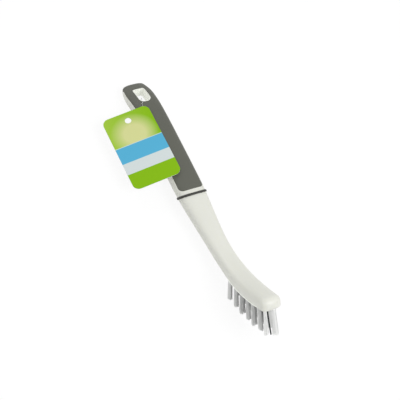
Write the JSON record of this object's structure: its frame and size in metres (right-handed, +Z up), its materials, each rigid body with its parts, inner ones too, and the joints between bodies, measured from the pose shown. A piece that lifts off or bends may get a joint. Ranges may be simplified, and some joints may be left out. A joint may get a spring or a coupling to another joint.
{
  "type": "grout brush",
  "caption": "Narrow scrubbing brush with a soft grip over a slim handle, a raised head with two rows of bristle tufts, a hanging hole and a swing tag.",
  "frame": {"origin": "on the table under the middle of the hanging hole, in the brush's plane of symmetry", "axes": "+X along the brush from the handle's end to the toe, +Z up with the brush lying on its handle end and heel tufts, +Y to the left of a hand that holds it with the toe pointing away"},
  "size_m": [0.3037, 0.0653, 0.0648],
  "materials": {
    "shell": "smooth satin polypropylene, warm off-white",
    "grip": "soft matt moulded rubber, warm grey",
    "ring": "soft matt moulded rubber, dark grey",
    "bristle": "drawn nylon bristle, translucent white",
    "anchor": "cut strip, bare",
    "tag_print": "printed card with a light varnish, green, blue and pale grey bands",
    "tag_back": "uncoated white card",
    "tie": "clear nylon"
  },
  "bodies": {
    "root": {"handle_body": "shell", "grip": "grip", "ring_band": "ring", "tag_tie": "tie", "tuft_left_1": "bristle", "tuft_left_2": "bristle", "tuft_left_3": "bristle", "tuft_left_4": "bristle", "tuft_left_5": "bristle", "tuft_left_6": "bristle", "tuft_left_7": "bristle", "tuft_right_1": "bristle", "tuft_right_2": "bristle", "tuft_right_3": "bristle", "tuft_right_4": "bristle", "tuft_right_5": "bristle", "tuft_right_6": "bristle", "tuft_right_7": "bristle", "anchor_left_1": "anchor", "anchor_left_2": "anchor", "anchor_left_3": "anchor", "anchor_left_4": "anchor", "anchor_left_5": "anchor", "anchor_left_6": "anchor", "anchor_left_7": "anchor", "anchor_right_1": "anchor", "anchor_right_2": "anchor", "anchor_right_3": "anchor", "anchor_right_4": "anchor", "anchor_right_5": "anchor", "anchor_right_6": "anchor", "anchor_right_7": "anchor"},
    "tag": {"tag_front": "tag_print", "tag_back": "tag_back"}
  },
  "joints": [
    {"name": "tag_swing", "type": "hinge", "parent": "root", "child": "tag", "pos_m": [0.01998, -0.01189, 0.02395], "axis": [-0.0277, -0.225, 0.974], "range_deg": [-60, 60]}
  ]
}
